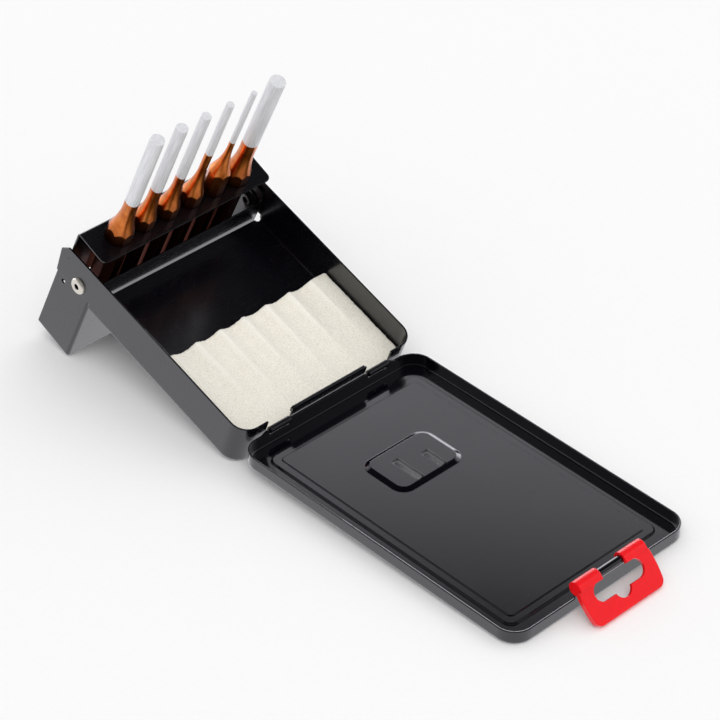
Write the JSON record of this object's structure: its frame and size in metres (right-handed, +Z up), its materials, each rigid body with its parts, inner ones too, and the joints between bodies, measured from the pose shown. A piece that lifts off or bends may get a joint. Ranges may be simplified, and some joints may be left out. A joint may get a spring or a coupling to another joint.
{
  "type": "pin punch set in folding case",
  "caption": "Parallel pin punches standing in a swing-out holder on a folding sheet-metal case with a foam-lined tray, hinged lid and plastic hang clip.",
  "frame": {"origin": "on the bench, under the middle of the open case's bounding box", "axes": "+Z up, +Y from the lid's clip towards the standing punches, +X along the hinge to the right seen from the clip"},
  "size_m": [0.11, 0.3334, 0.1398],
  "materials": {
    "case_enamel": "gloss black baked enamel on pressed sheet",
    "foam": "open-cell polyurethane foam, off-white",
    "rivet_nickel": "nickel-plated tubular rivet, satin bright",
    "washer_zinc": "zinc-plated washer",
    "clip_plastic": "glossy red moulded plastic",
    "punch_steel": "copper-brown clear lacquer on the stock, bright ground pin"
  },
  "bodies": {
    "tray": {"tray": "case_enamel", "foam_pad": "foam", "rivet_left": "rivet_nickel", "rivet_right": "rivet_nickel", "washer_left": "washer_zinc", "washer_right": "washer_zinc"},
    "lid": {"lid": "case_enamel"},
    "clip": {"latch_clip": "clip_plastic"},
    "holder": {"holder_box": "case_enamel", "punch_rack": "case_enamel"},
    "punch_7": {"punch_7mm": "punch_steel"},
    "punch_6": {"punch_6mm": "punch_steel"},
    "punch_5": {"punch_5mm": "punch_steel"},
    "punch_4": {"punch_4mm": "punch_steel"},
    "punch_3": {"punch_3mm": "punch_steel"},
    "punch_8": {"punch_8mm": "punch_steel"}
  },
  "joints": [
    {"name": "lid_hinge", "type": "hinge", "parent": "tray", "child": "lid", "pos_m": [0, 0.01945, 0.01503], "axis": [1, 0, 0], "range_deg": [-118, 0]},
    {"name": "holder_pivot", "type": "hinge", "parent": "tray", "child": "holder", "pos_m": [0, 0.12948, 0.04901], "axis": [-1, 0, 0], "range_deg": [-84.2, 0]},
    {"name": "clip_pivot", "type": "hinge", "parent": "lid", "child": "clip", "pos_m": [0, -0.15218, 0.01436], "axis": [1, 0, 0], "range_deg": [-130, 44]},
    {"name": "punch_7_lift", "type": "slide", "parent": "holder", "child": "punch_7", "axis": [0, -0.4609, 0.8874], "range_m": [0, 0.0818]},
    {"name": "punch_6_lift", "type": "slide", "parent": "holder", "child": "punch_6", "axis": [0, -0.4609, 0.8874], "range_m": [0, 0.0818]},
    {"name": "punch_5_lift", "type": "slide", "parent": "holder", "child": "punch_5", "axis": [0, -0.4609, 0.8874], "range_m": [0, 0.0818]},
    {"name": "punch_4_lift", "type": "slide", "parent": "holder", "child": "punch_4", "axis": [0, -0.4609, 0.8874], "range_m": [0, 0.0818]},
    {"name": "punch_3_lift", "type": "slide", "parent": "holder", "child": "punch_3", "axis": [0, -0.4609, 0.8874], "range_m": [0, 0.0818]},
    {"name": "punch_8_lift", "type": "slide", "parent": "holder", "child": "punch_8", "axis": [0, -0.4609, 0.8874], "range_m": [0, 0.0818]}
  ]
}
